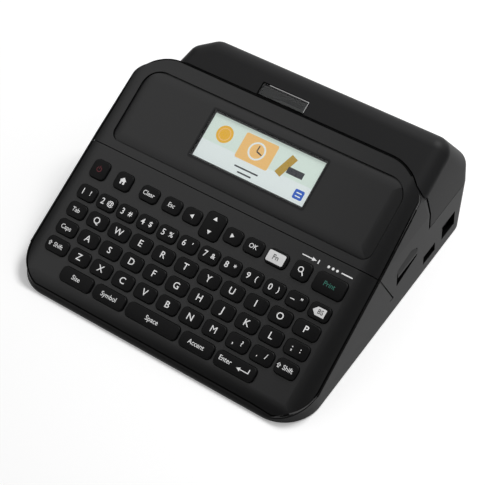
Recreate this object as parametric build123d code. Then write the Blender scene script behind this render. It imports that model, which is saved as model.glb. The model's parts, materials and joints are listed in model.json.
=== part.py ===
"""Desktop label maker with a sloping keyboard, a colour screen and a tape compartment behind it.

Millimetres. +X right, +Y back, +Z up. The origin is the middle of the footprint on the table.
"""
import os
from math import atan2, cos, hypot, pi, radians, sin, sqrt, tan

from build123d import *

os.makedirs("parts", exist_ok=True)

# ---------------------------------------------------------------- driving dimensions
WIDTH = 201.0              # case at the floor
FRONT_Y = -93.4            # front edge of the keyboard cover
REAR_Y = 94.4              # widest point of the back, at the lid line
FRONT_FLARE = 1.0          # the front wall stands out by this much at the floor
FLOOR_Z = 0.8              # underside of the case, carried on rubber feet
WALL = 2.4                 # case walls
FLOOR_TOP = FLOOR_Z + 2.2  # inside of the case floor
SEAM = 0.5                 # visible joint between covers
LID_SEAM = 0.8             # joint between the tape cover and the screen cover

SLOPE = 26.3               # tilt of the keyboard and screen
SEAM_Y, SEAM_Z = -11.4, 46.7   # line where keyboard cover and screen cover meet
TOP_THICK = 2.4            # thickness of the two top covers
EDGE_DROP = 2.45           # lower edge of their visible rims
RIM_DROP = 3.2             # lower edge of their inner rims
CROWN_DROP = 1.9           # how far the outer margins roll down
SCREEN_REAR_Y = 47.0       # back edge of the screen cover

LID_Z = 34.0               # lower edge of the tape cover
LID_WALL = 2.2
LID_FRONT_SLOPE = 24.0     # front face of the tape cover
LID_FRONT_Z = 75.4         # its height at the screen cover
LID_BACK_SLOPE = 53.2      # back face of the tape cover
LID_WALL_SLOPE = 88.0      # its upright back wall, below the bend
LID_BEND_Z = 48.9          # height of the bend between them
LID_BEND_R = 12.0          # and its radius
LID_RIGHT_LEAN = 2.5       # ends, from upright
LID_LEFT_LEAN = 32.0
LID_EDGE_R = 12.0          # ridge and ends of the tape cover
PIVOT_R = 2.2              # rounded back edge that the cover turns on
PIVOT_Y, PIVOT_Z = REAR_Y - 2.28, LID_Z + PIVOT_R

BAY_TILT = 41.1            # the tape compartment leans back by this much
BAY_Y, BAY_Z = 70.7, 54.7  # middle of its mouth

RIM_STEP = 1.6             # inner rims stand back by this much
RIM_WIDTH = 6.5            # and are this wide
SEAM_RIM = 3.0             # rims along the joint of the two top covers
KEY_CORNER_R = 3.2
PANEL_DEPTH = 1.7          # pocket of the inner screen panel
DISPLAY_POCKET = (0.45, 30.25, 176.9, 48.9)   # middle u, v, width, height
LCD_WINDOW = (1.65, 32.05, 79.5, 32.5)
LCD_MODULE = (1.65, 32.05, 84.0, 37.0)
LID_WINDOW = (-3.3, 4.9, 31.8, 8.4)           # middle a, b, width, height
LID_START_Y = 8.0          # the wedge of the cover is cut from a longer one
LID_SKIRT = 4.0            # and runs on below the cover's lower edge by this much
HINGE_X = 74.0             # middle of the two hinge lugs
HINGE_BEAD_X = 88.0
PIN_R = 0.9

EXIT_SLOT = (19.0, -26.5, -0.5)   # tape exit: s, lowest and highest w
EXIT_WIDTH = 6.0
BATTERY_HALF_X = 57.0
BATTERY_Y = (-34.5, 16.5)
TRAY_POSTS = ((-86, -18), (-86, 10), (-14, -24), (-14, 10), (58, -24), (58, 10))
BOARD_Z = 4.6
BOARD_POSTS = ((66, 26), (92, 37), (66, 73), (90, 74))
SCREWS = ((-88, -58), (88, -58), (-88, 28), (84, 8))
LEVER_X0 = 94.0            # floor of the lever recess
USB_HOLE_Y, USB_HOLE_Z = (39.4, 53.0), (7.0, 13.8)
JACK_HOLE_Y, JACK_HOLE_Z = (60.9, 76.0), (8.0, 19.0)
SHOULDER_R = 1.4           # rounded edge of the side walls beside the top covers

KEY_HEIGHT = 9.8
KEY_GAP = 0.37
KEY_TOP = 1.8              # crown of the keys above the panel
FLANGE_TOP, FLANGE_BOTTOM = -2.9, -3.7
MODULE = 0.8               # of all gears
GEAR_W0, GEAR_W1 = -34.0, -30.0
TRAY_W = -26.5             # top of the tray under the cassette
GEARS = {                  # name: ((x, s), teeth)
    "motor": ((-60.0, -16.53), 8),
    "reduction": ((-54.0, -2.56), 30),
    "idler": ((-58.5, 15.28), 16),
    "spindle": ((-33.25, -4.0), 22),
    "platen": ((-51.0, 23.6), 12),
    "feed": ((-66.0, 23.6), 12),
}
CUTTER_PIVOT = (17.0, -31.0)      # s, w
CUTTER_X = -81.4
CUTTER_REST = 26.0         # the open blade leans back by this much
CUTTER_SECTOR, CUTTER_TEETH = 30, 6
FOOT_R = 6.0
FEET = ((-80, -76), (80, -76), (-80, 68), (80, 68))
LEVER_Z = 26.2             # lower edge of the lever, over the finger space
LEVER_PIN_LENGTH = 26.0

SIN, COS = sin(radians(SLOPE)), cos(radians(SLOPE))

# Work frames. On the slope: u right, v up the slope, n out of it.
# In the bay: x right, s towards the back edge, w out of the mouth.
# On the lid's front face: a right, b up the face, c out of it.
SLOPE_FRAME = Plane(origin=(0, SEAM_Y, SEAM_Z), x_dir=(1, 0, 0), z_dir=(0, -SIN, COS)).location
BAY_FRAME = Plane(
    origin=(0, BAY_Y, BAY_Z), x_dir=(1, 0, 0),
    z_dir=(0, sin(radians(BAY_TILT)), cos(radians(BAY_TILT))),
).location
LID_FRAME = Plane(
    origin=(0, SCREEN_REAR_Y, LID_FRONT_Z), x_dir=(1, 0, 0),
    z_dir=(0, -sin(radians(LID_FRONT_SLOPE)), cos(radians(LID_FRONT_SLOPE))),
).location
LEVER_AXIS = Plane(origin=(96.4, 20.0, 31.8), x_dir=(1, 0, 0), z_dir=(0, 0.98605, 0.16642)).location


# ---------------------------------------------------------------- small helpers
def box(x0, x1, y0, y1, z0, z1):
    """Box from its six faces."""
    return Pos((x0 + x1) / 2, (y0 + y1) / 2, (z0 + z1) / 2) * Box(x1 - x0, y1 - y0, z1 - z0)


def post(x, y, z0, z1, radius):
    """Upright cylinder."""
    return Pos(x, y, (z0 + z1) / 2) * Cylinder(radius, z1 - z0)


def rod(x0, x1, y, z, radius):
    """Cylinder along X."""
    return Pos((x0 + x1) / 2, y, z) * Rot(0, 90, 0) * Cylinder(radius, x1 - x0)


def rod_y(x, y0, y1, z, radius):
    """Cylinder along Y."""
    return Pos(x, (y0 + y1) / 2, z) * Rot(90, 0, 0) * Cylinder(radius, y1 - y0)


def cushion(width, height, radius, z0, z1, taper=0.0):
    """Rounded rectangle raised from z0 to z1."""
    return Pos(0, 0, z0) * extrude(RectangleRounded(width, height, radius), z1 - z0, taper=taper)


def round_outline(points, radii):
    """Closed outline whose corners are rounded by the given radii."""
    face = make_face(Polyline(*points, close=True))
    for point, radius in zip(points, radii):
        if radius:
            corner = face.vertices().sort_by_distance((point[0], point[1], 0))[0]
            face = fillet([corner], radius)
    return face


def soften(shape, edges, radii):
    """Round the edges with the first radius that the shape takes."""
    for radius in radii:
        try:
            rounded = fillet(edges, radius)
        except (ValueError, RuntimeError):
            continue
        if rounded.is_valid and 0 < rounded.volume <= shape.volume * 1.001:
            return rounded
    print("left sharp:", len(edges), "edges")
    return shape


def save(name, shape):
    """Write one node."""
    solids = shape.solids()
    body = solids[0] if len(solids) == 1 else Compound(children=list(solids))
    export_step(body, os.path.join("parts", name + ".step"))
    print(name, len(solids), round(sum(s.volume for s in solids), 1))


# ---------------------------------------------------------------- outer form of the case
def half_width(z):
    """Half of the case's width at a height: the sides flare towards the floor."""
    return WIDTH / 2 - (z - FLOOR_Z) * 0.028 - max(z - 48.0, 0.0) * 0.045


def front_section(z, rear_radius, inset):
    """Plan of the keyboard and screen part at a height."""
    x = half_width(z) - inset
    flare = FRONT_FLARE if z < 2 * FLOOR_Z else 0.0
    y0, y1 = FRONT_Y - flare + inset, SCREEN_REAR_Y - inset
    front, rear = 23.0 - inset, max(rear_radius - inset, 0.6)
    return Pos(0, 0, z) * round_outline([(-x, y0), (x, y0), (x, y1), (-x, y1)], [front, front, rear, rear])


def front_block(inset=0.0):
    """Keyboard and screen part of the case, before the slope is cut."""
    stations = [(FLOOR_Z, 3.6), (6.0, 3.6), (45.0, 4.0), (62.0, 9.0), (71.0, 24.0), (84.0, 28.0)]
    return loft([front_section(z, radius, inset) for z, radius in stations], ruled=True)


def rear_section(z, y_rear, radius, inset):
    """Plan of the part under the tape compartment at a height."""
    x = half_width(z) - inset
    y0, y1 = SCREEN_REAR_Y - 30.0, y_rear - inset
    return Pos(0, 0, z) * round_outline([(-x, y0), (x, y0), (x, y1), (-x, y1)], [0, 0, radius - inset, radius - inset])


def rear_block(inset=0.0, top=LID_Z - SEAM):
    """Lower case behind the screen; its back wall leans in towards the floor."""
    low = rear_section(FLOOR_Z, REAR_Y - 6.0, 10.0, inset)
    high = rear_section(top, REAR_Y, 10.0, inset)
    return loft([low, high], ruled=True)


def slope_slab(n0, n1, v0=-140.0, v1=140.0):
    """Everything between two levels of the slope."""
    return SLOPE_FRAME * box(-130, 130, v0, v1, n0, n1)


def above(z):
    """Everything above a height."""
    return box(-130, 130, -130, 130, z, 150)


def crown(flat0, flat1, edge0, edge1, drop, top=0.0):
    """Outline that is flat in the middle and rolls down by an arc towards each edge."""
    def arc(flat, edge):
        run = edge - flat
        radius = (run ** 2 + drop ** 2) / (2 * abs(drop))
        half = atan2(abs(run), radius - drop) / 2
        step = radius * sin(half) * (1 if run > 0 else -1)
        return (flat + step, top - radius * (1 - cos(half)))
    lines = [
        ThreePointArc((edge0, top - drop), arc(flat0, edge0), (flat0, top)),
        Line((flat0, top), (flat1, top)),
        ThreePointArc((flat1, top), arc(flat1, edge1), (edge1, top - drop)),
        Polyline((edge1, top - drop), (edge1 + 8, top - drop - 4), (edge1 + 8, -30), (edge0 - 8, -30),
                 (edge0 - 8, top - drop - 4), (edge0, top - drop)),
    ]
    return make_face(lines)


def crown_across(flat, edge, drop, top=0.0, shift=0.0):
    """Margins rolled down on the left and right."""
    face = Plane.XZ * crown(shift - flat, shift + flat, shift - edge, shift + edge, drop, top)
    return SLOPE_FRAME * extrude(face, 150, both=True)


def crown_along(flat0, flat1, edge0, edge1, drop, top=0.0):
    """Margins rolled down on the front and the back."""
    face = Plane.YZ * crown(flat0, flat1, edge0, edge1, drop, top)
    return SLOPE_FRAME * extrude(face, 130, both=True)


def lid_profile(inset):
    """Side view of the tape cover: front face, ridge, back face, bend and upright back wall."""
    front, back, wall = (tan(radians(a)) for a in (LID_FRONT_SLOPE, LID_BACK_SLOPE, LID_WALL_SLOPE))
    y_wall, z_low = REAR_Y - inset / sin(radians(LID_WALL_SLOPE)), LID_Z - LID_SKIRT
    bend_y = REAR_Y - (LID_BEND_Z - LID_Z) / wall
    z_front = LID_FRONT_Z - inset / cos(radians(LID_FRONT_SLOPE))
    z_back = LID_BEND_Z - inset / cos(radians(LID_BACK_SLOPE))
    # the three faces as lines z = a - k * y, set in by the wall thickness
    ridge_y = (z_back + bend_y * back - z_front + SCREEN_REAR_Y * front) / (front + back)
    ridge_z = z_back + (bend_y - ridge_y) * back
    turn_y = (z_back + bend_y * back - LID_Z - y_wall * wall) / (back - wall)
    turn_z = z_back + (bend_y - turn_y) * back
    return [
        (LID_START_Y, z_low), (LID_START_Y, z_front - (SCREEN_REAR_Y - LID_START_Y) * front),
        (ridge_y, ridge_z), (turn_y, turn_z), (y_wall + LID_SKIRT / wall, z_low),
    ]


def lid_wedge(inset):
    """Tape cover before rounding: a wedge with a steep right end and a sloping left end."""
    right, left = tan(radians(LID_RIGHT_LEAN)), tan(radians(LID_LEFT_LEAN))
    profile = lid_profile(inset)
    outline = round_outline(profile, [0, 0, 0, LID_BEND_R - inset, 0])
    wedge = extrude(Plane.YZ * outline, WIDTH, both=True)
    x_lid = half_width(LID_Z) - inset
    ends = Polyline(
        (-x_lid - LID_SKIRT * left, LID_Z - LID_SKIRT), (x_lid + LID_SKIRT * right, LID_Z - LID_SKIRT),
        (x_lid - 60 * right, LID_Z + 60), (-x_lid + 60 * left, LID_Z + 60), close=True,
    )
    across = Pos(0, 130, 0) * Rot(90, 0, 0) * extrude(make_face(ends), 150)
    # the back left corner is bevelled before everything is rounded
    bevel = Plane(origin=(-65.8, 65.3, 79.4), z_dir=(-0.544, 0.544, 0.64)).location
    return (wedge & across) - bevel * Pos(0, 0, 60 - inset) * Box(300, 300, 120)


def is_sharp(edge, shape):
    """Whether the two faces at an edge meet at an angle."""
    faces = [face for face in shape.faces() if any(other.is_same(edge) for other in face.edges())]
    if len(faces) != 2:
        return False
    middle = edge @ 0.5
    return faces[0].normal_at(middle).dot(faces[1].normal_at(middle)) < 0.985


def lid_block(inset=0.0):
    """Rounded outer form of the tape cover."""
    shape = lid_wedge(inset)

    def upper():
        return [e for e in shape.edges() if e.center().Z > LID_Z - LID_SKIRT + 2 and e.center().Y > LID_START_Y + 2]

    edges = [e for e in upper() if is_sharp(e, shape)]
    return soften(shape, edges, [LID_EDGE_R - inset, 10.0 - inset, 8.0 - inset])


# ---------------------------------------------------------------- case
def seam_ring(block_inset, n0, n1):
    """Slab of the front block at a level of the slope."""
    return front_block(block_inset) & slope_slab(n0, n1)


def cover_stock(v0, v1):
    """Top cover between two lines of the slope, hollow underneath, with rolled margins."""
    outer = (seam_ring(0.0, -EDGE_DROP, 2.0) + seam_ring(RIM_STEP, -RIM_DROP, 0.0)) & slope_slab(-9, 3, v0, v1)
    cavity = seam_ring(RIM_WIDTH, -9, -TOP_THICK) & slope_slab(-9, 3, v0 + SEAM_RIM, v1 - SEAM_RIM)
    margin = half_width(40)
    outer = outer & crown_across(87.5, margin, CROWN_DROP)
    return outer - cavity


def keyboard_panel():
    """Front cover with one opening per key."""
    shape = cover_stock(-130, -SEAM / 2) & crown_along(-83.0, 60, -91.4, 80, CROWN_DROP)
    for u, v, width, height in key_openings():
        shape -= SLOPE_FRAME * Pos(u, v, 0) * cushion(width, height, KEY_CORNER_R, -6, 3)
    return shape


def display_housing():
    """Rear cover around the screen: a shallow pocket for the panel, a hole for the screen module."""
    shape = cover_stock(SEAM / 2, 130)
    u, v, width, height = DISPLAY_POCKET
    shape -= SLOPE_FRAME * Pos(u, v, 0) * pocket_form(width + 1.0, height + 1.0, -PANEL_DEPTH, 3)
    u, v, width, height = LCD_MODULE
    shape -= SLOPE_FRAME * Pos(u, v, 0) * cushion(width + 0.8, height + 0.8, 2, -9, 3)
    return shape


def pocket_form(width, height, z0, z1):
    """Outline of the inner screen panel, rounder at the back corners."""
    x, y = width / 2, height / 2
    outline = round_outline([(-x, -y), (x, -y), (x, y), (-x, y)], [6, 6, 12, 12])
    return Pos(0, 0, z0) * extrude(outline, z1 - z0)


def display_panel():
    """Inner panel with softly rolled edges and an opening for the window."""
    u, v, width, height = DISPLAY_POCKET
    shape = SLOPE_FRAME * Pos(u, v, 0) * pocket_form(width, height, -PANEL_DEPTH, 0)
    shape = shape & crown_across(width / 2 - 7.5, width / 2, 1.0, -0.1, u)
    shape = shape & crown_along(v - height / 2 + 6, v + height / 2 - 7, v - height / 2, v + height / 2, 0.9, -0.1)
    u, v, width, height = LCD_WINDOW
    shape -= SLOPE_FRAME * Pos(u, v, 0) * cushion(width, height, 1.2, -1.0, 3)
    return shape - SLOPE_FRAME * Pos(u, v, 0) * cushion(width - 2.4, height - 2.4, 1.0, -3, 3)


def display_window():
    """Clear window, set in a rebate of the panel."""
    u, v, width, height = LCD_WINDOW
    return SLOPE_FRAME * Pos(u, v, 0) * cushion(width - 0.3, height - 0.3, 1.1, -1.0, -0.2)


def lcd_module():
    """Screen module under the window."""
    u, v, width, height = LCD_MODULE
    return SLOPE_FRAME * Pos(u, v, 0) * cushion(width, height, 1.5, -5.4, -PANEL_DEPTH - 0.05)


def tape_slot(margin=0.0):
    """Exit slot of the tape, through the left wall."""
    s, w0, w1 = EXIT_SLOT
    half = EXIT_WIDTH / 2 + margin
    return BAY_FRAME * box(-130, -84, s - half, s + half, w0 - margin, w1 + margin)


def side_groove(side):
    """Parting line down the side wall from the joint of the two top covers."""
    x = side * half_width(30)
    line = SLOPE_FRAME * box(x - 1.0, x + 1.6, -0.45, 0.45, -37.0, 0)
    hook = Pos(0, 2.2, 13.2) * box(x - 1.0, x + 1.6, -0.3, 3.6, -0.45, 0.45)
    return line + hook


def lever_outline(gap=0.0):
    """Side view of the lever recess: taller in the middle, with a rising lower edge."""
    points = [
        (8.6 + gap, 19.3 + gap), (9.4 + gap, 32.2 - gap), (24.8, 34.8 - gap),
        (31.4 - gap, 30.6 - gap / 2), (31.4 - gap, 24.0 + gap),
    ]
    return Plane.YZ * round_outline(points, [0.8, 1.4, 5.0, 1.6, 0.8])


def lever_pin(radius):
    """Pin of the lever, parallel to its top edge."""
    return LEVER_AXIS * Cylinder(radius, LEVER_PIN_LENGTH)


def shoulder_cutter(v0, v1, rim):
    """Rounds the upper edge of the right side wall between two lines of the slope."""
    ends = []
    for v in (v0, v1):
        z = SEAM_Z + v * SIN + rim * COS
        ends.append(Vector(half_width(z), SEAM_Y + v * COS - rim * SIN, z))
    run = ends[1] - ends[0]
    r = SHOULDER_R
    profile = Pos(0.5 - r / 2, r / 2 - 0.5) * Rectangle(r + 1, r + 1) - Pos(-r, r) * Circle(r)
    return extrude(Plane(origin=ends[0], x_dir=(1, 0, 0), z_dir=run.normalized()) * profile, run.length)


def base_walls():
    """Lower case as one hollow shell."""
    rim = -RIM_DROP - 0.25
    outer = (front_block() & slope_slab(-200, rim)) + rear_block()
    for v0, v1 in ((-72.0, 9.9), (9.9, 38.0)):
        cutter = shoulder_cutter(v0, v1, rim)
        outer -= cutter
        outer -= mirror(cutter, Plane.YZ)
    inside = front_block(WALL) & above(FLOOR_TOP)
    shape = outer - inside - (rear_block(WALL, 40.0) & above(FLOOR_TOP))
    # behind the screen the case is open upwards, under the tape cover
    under_lid = lid_block(LID_WALL + 0.8) & above(LID_Z - SEAM)
    shape -= BAY_FRAME * box(-93, 93, -30.0, 36, -24, 60) & under_lid
    wall = (-93, 93, SCREEN_REAR_Y - WALL - 1, SCREEN_REAR_Y + 1)
    shape -= box(*wall, LID_Z - SEAM - 1, 64) & under_lid
    return shape - box(*wall, FLOOR_TOP, LID_Z - SEAM)


def battery_box():
    """Walls of the battery compartment, standing on the floor."""
    x, (y0, y1) = BATTERY_HALF_X, BATTERY_Y
    walls = box(-x - 1.5, x + 1.5, y0 - 1.5, y1 + 1.5, FLOOR_TOP - 0.5, 21.6)
    return walls - box(-x, x, y0, y1, 0, 20.2)


def base_supports():
    """Posts under the print mechanism, board standoffs and screw bosses."""
    parts = []
    for x, s in TRAY_POSTS:
        spot = BAY_FRAME * Pos(x, s, -28.5)
        y, z = spot.position.Y, spot.position.Z
        parts.append(post(x, y, FLOOR_TOP - 0.5, z + 6, 3.0) & (BAY_FRAME * box(-130, 130, -60, 60, -90, -28.5)))
    for x, y in BOARD_POSTS:
        parts.append(post(x, y, FLOOR_TOP - 0.5, BOARD_Z, 2.0))
    for x, y in SCREWS:
        parts.append(post(x, y, FLOOR_TOP - 0.5, 12.0, 3.5))
    return parts


def hinge_lugs():
    """Two lugs that carry the hinge pins of the tape cover."""
    parts = []
    for x in (-HINGE_X, HINGE_X):
        column = box(x - 2, x + 2, PIVOT_Y - 2.0, PIVOT_Y + 2.0, LID_Z - SEAM, PIVOT_Z)
        root = box(x - 2, x + 2, PIVOT_Y - 4.6, PIVOT_Y + 2.0, 20.0, LID_Z - SEAM) & rear_block(1.0)
        parts.append(root + column + rod(x - 2, x + 2, PIVOT_Y, PIVOT_Z, 2.0))
    return parts


def base_shell():
    """Lower case with everything moulded to it."""
    shape = base_walls() + battery_box()
    for part in base_supports() + hinge_lugs() + [motor_cradle()]:
        shape += part
    # lever recess: a cup behind the wall
    cup = Pos(LEVER_X0 - 1.2, 0, 0) * extrude(lever_outline(-1.4), 5.4)
    shape += cup & (front_block(0.5) + rear_block(0.5))
    shape -= Pos(LEVER_X0, 0, 0) * extrude(lever_outline(), 20)
    shape -= lever_pin(0.7)
    for x, y in SCREWS:
        shape -= post(x, y, 0, 11.0, 1.2)
        shape -= post(x, y, 0, FLOOR_Z + 1.4, 2.7)
    x, (y0, y1) = BATTERY_HALF_X, BATTERY_Y
    shape -= box(-x + 0.4, x - 0.4, y0 + 0.4, y1 - 0.4, 0, 4)
    shape -= box(94, 104, *USB_HOLE_Y, *USB_HOLE_Z)
    shape -= box(94, 104, *JACK_HOLE_Y, *JACK_HOLE_Z)
    shape -= tape_slot()
    for x in (-HINGE_X, HINGE_X):
        shape -= rod(x - 4, x + 4, PIVOT_Y, PIVOT_Z, PIN_R)
    for side in (-1, 1):
        shape -= side_groove(side)
    return shape


def tape_cover():
    """Hinged cover over the tape compartment."""
    shape = lid_block() - lid_block(LID_WALL)
    shape = shape & above(LID_Z)
    shape -= front_block(-LID_SEAM) & box(-130, 130, -130, 80, 0, 120)
    # rounded back edge, concentric with the hinge
    corner = box(-130, 130, PIVOT_Y, REAR_Y + 3, LID_Z - 1, PIVOT_Z)
    shape -= corner
    shape += rod(-HINGE_BEAD_X, HINGE_BEAD_X, PIVOT_Y, PIVOT_Z, PIVOT_R)
    for x in (-HINGE_X, HINGE_X):
        shape -= box(x - 3, x + 3, PIVOT_Y - 6, REAR_Y + 3, LID_Z - 1, PIVOT_Z + 5)
        shape -= rod(x - 7, x + 7, PIVOT_Y, PIVOT_Z, PIN_R + 0.3)
    shape -= tape_slot(0.3)
    a, b, width, height = LID_WINDOW
    shape -= LID_FRAME * Pos(a, b, 0) * cushion(width, height, 0.8, -1.2, 3)
    return shape - LID_FRAME * Pos(a, b, 0) * cushion(width - 2.4, height - 2.4, 0.6, -6, 3)


def cover_window():
    """Clear window in the tape cover."""
    a, b, width, height = LID_WINDOW
    return LID_FRAME * Pos(a, b, 0) * cushion(width - 0.3, height - 0.3, 0.7, -1.2, -0.15)


def hinge_pins():
    """Pins of the tape cover and of the release lever."""
    pins = [rod(x - 5.5, x + 5.5, PIVOT_Y, PIVOT_Z, PIN_R) for x in (-HINGE_X, HINGE_X)]
    return Compound(children=pins + [lever_pin(0.7)])


def battery_door():
    """Door in the floor, with its hinge edge at the front."""
    x, (y0, y1) = BATTERY_HALF_X, BATTERY_Y
    door = box(-x + 0.9, x - 0.9, y0 + 1.6, y1 - 0.9, FLOOR_Z, FLOOR_TOP - 0.4)
    door += rod(-x + 0.9, x - 0.9, y0 + 1.6, FLOOR_Z + 0.9, 0.9)
    grips = [box(-12, 12, y1 - 4.2 - 1.6 * i, y1 - 3.4 - 1.6 * i, 0, FLOOR_Z + 0.5) for i in range(4)]
    return door - grips


def release_lever():
    """Lever in the right side wall: a ramp with a lip for the finger along its lower edge."""
    face = half_width(LEVER_Z) + 0.3
    plate = Pos(LEVER_X0 + 0.9, 0, 0) * extrude(lever_outline(0.5), 20)
    plate = plate & box(90, face, 0, 60, LEVER_Z, 60)
    ramp = Pos(face, 0, LEVER_Z + 1.6) * Rot(0, -14, 0) * box(0, 9, 0, 60, -9, 14)
    return plate - ramp - lever_pin(1.0)


# ---------------------------------------------------------------- keys
def span(u0, u1, v, height=KEY_HEIGHT):
    """Opening between two lines across the slope."""
    return ((u0 + u1) / 2, v, u1 - u0, height)


def even(first, step, count, v, width):
    """Row of equal openings."""
    return [(first + step * i, v, width, KEY_HEIGHT) for i in range(count)]


def single_keys():
    """Openings of the keys that move on their own."""
    return {
        "key_power": span(-88.4, -76.5, -14.8, 12.3),
        "key_home": span(-70.8, -58.9, -14.8, 11.5),
        "key_clear": span(-52.5, -39.4, -14.8),
        "key_escape": span(-36.1, -23.2, -14.8),
        "key_left": span(-21.4, -9.3, -14.8),
        "key_up_down": span(-8.0, 5.7, -14.8, 17.0),
        "key_right": span(7.0, 19.1, -14.8),
        "key_ok": span(20.6, 33.4, -14.8),
        "key_function": span(35.3, 49.6, -14.8),
        "key_search": span(52.9, 64.4, -14.8, 11.7),
        "key_print": span(67.1, 87.1, -15.2, 12.3),
        "key_backspace": span(72.6, 86.1, -30.5),
        "key_tab": span(-88.8, -75.3, -42.4),
        "key_caps": span(-89.1, -74.4, -54.2),
        "key_shift_left": span(-89.5, -73.3, -66.0),
        "key_shift_right": span(71.4, 85.6, -66.0),
        "key_scale": span(-70.6, -47.6, -77.8),
        "key_symbol": span(-46.4, -23.9, -77.8),
        "key_space": span(-22.7, 13.8, -77.8),
        "key_accent": span(15.0, 37.3, -77.8),
        "key_enter": span(38.5, 65.3, -77.8),
    }


def key_rows():
    """Openings of the letter and digit rows, one carrier per row."""
    return {
        "digit_key_row": even(-81.9, 14.65, 11, -30.5, 13.4),
        "upper_letter_key_row": even(-66.5, 15.93, 9, -42.4, 14.7) + [span(69.5, 85.9, -42.4)],
        "middle_letter_key_row": even(-65.6, 15.93, 9, -54.2, 14.7) + [span(70.5, 85.9, -54.2)],
        "lower_letter_key_row": even(-64.55, 15.9, 9, -66.0, 14.7),
    }


def key_openings():
    """Every opening of the keyboard panel."""
    rows = [opening for row in key_rows().values() for opening in row]
    return list(single_keys().values()) + rows


def key_cap(opening):
    """One key standing in its opening, domed on top."""
    u, v, width, height = opening
    body = cushion(width - 2 * KEY_GAP, height - 2 * KEY_GAP, KEY_CORNER_R - KEY_GAP, FLANGE_TOP - 0.2, KEY_TOP + 0.6)
    if width > 18:
        dome = Pos(0, 0, KEY_TOP - 24) * Rot(0, 90, 0) * Cylinder(24, 60)
    else:
        dome = Pos(0, 0, KEY_TOP - 42) * Sphere(42)
    body = body & dome
    top = [e for e in body.edges() if e.center().Z > KEY_TOP - 1.8]
    body = soften(body, top, [0.6, 0.4])
    return Pos(u, v, 0) * body


def flange(opening):
    """Collar under the panel that keeps a key in."""
    u, v, width, height = opening
    return Pos(u, v, 0) * cushion(width + 0.8, height + 0.8, KEY_CORNER_R + 0.4, FLANGE_BOTTOM, FLANGE_TOP)


def single_key(opening):
    """One key with its collar."""
    return SLOPE_FRAME * (key_cap(opening) + flange(opening))


def key_row(openings):
    """Row of keys on one carrier strip."""
    first, last = openings[0], openings[-1]
    strip = box(first[0], last[0], first[1] - KEY_HEIGHT / 2, first[1] + KEY_HEIGHT / 2, FLANGE_BOTTOM, FLANGE_TOP)
    shape = strip
    for opening in openings:
        shape += flange(opening)
    for opening in openings:
        shape += key_cap(opening)
    return SLOPE_FRAME * shape


def key_mat():
    """Rubber contact mat under the keys."""
    return SLOPE_FRAME * Pos(-1.5, -43.6, 0) * cushion(180, 79.6, 4, -6.2, -5.1)


def key_circuit_board():
    """Circuit board under the mat."""
    return SLOPE_FRAME * Pos(-1.5, -42.6, 0) * cushion(182, 77.2, 3, -7.8, -6.2)


# ---------------------------------------------------------------- gears
def tooth_points(teeth, phase, first, last):
    """Outline points of the teeth numbered first to last."""
    pitch_r = MODULE * teeth / 2
    step = 2 * pi / teeth
    points = []
    for i in range(first, last):
        middle = phase + i * step
        for radius, turn in ((pitch_r - 0.6, -0.31), (pitch_r + 0.3, -0.15), (pitch_r + 0.3, 0.15), (pitch_r - 0.6, 0.31)):
            angle = middle + turn * step
            points.append((radius * cos(angle), radius * sin(angle)))
    return points


def gear(teeth, phase, z0, z1, bore=0.0):
    """Spur gear standing on its centre."""
    shape = Pos(0, 0, z0) * extrude(make_face(Polyline(*tooth_points(teeth, phase, 0, teeth), close=True)), z1 - z0)
    return shape - post(0, 0, z0 - 1, z1 + 1, bore) if bore else shape


def meshed_phase(spot_a, teeth_a, phase_a, spot_b, teeth_b):
    """Phase of gear B whose gaps meet the teeth of gear A."""
    toward = atan2(spot_b[1] - spot_a[1], spot_b[0] - spot_a[0])
    share = teeth_a * (toward - phase_a) / (2 * pi)
    return toward + pi - (2 * pi / teeth_b) * (0.5 - share)


def gear_phases():
    """Phase of every gear of the drive train, from the motor outwards."""
    phases = {"motor": 0.0}
    for name, driver in (("reduction", "motor"), ("idler", "reduction"), ("spindle", "reduction"),
                         ("platen", "idler"), ("feed", "idler")):
        spot_a, teeth_a = GEARS[driver]
        spot_b, teeth_b = GEARS[name]
        phases[name] = meshed_phase(spot_a, teeth_a, phases[driver], spot_b, teeth_b)
    return phases


def train_gear(name, bore=0.0):
    """Gear of the drive train in its place."""
    (x, s), teeth = GEARS[name]
    return BAY_FRAME * Pos(x, s, 0) * gear(teeth, gear_phases()[name], GEAR_W0, GEAR_W1, bore)


# ---------------------------------------------------------------- print mechanism
def bay_post(x, s, w0, w1, radius):
    """Cylinder standing in the bay."""
    return BAY_FRAME * post(x, s, w0, w1, radius)


def bay_box(*faces):
    """Box in the bay."""
    return BAY_FRAME * box(*faces)


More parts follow.
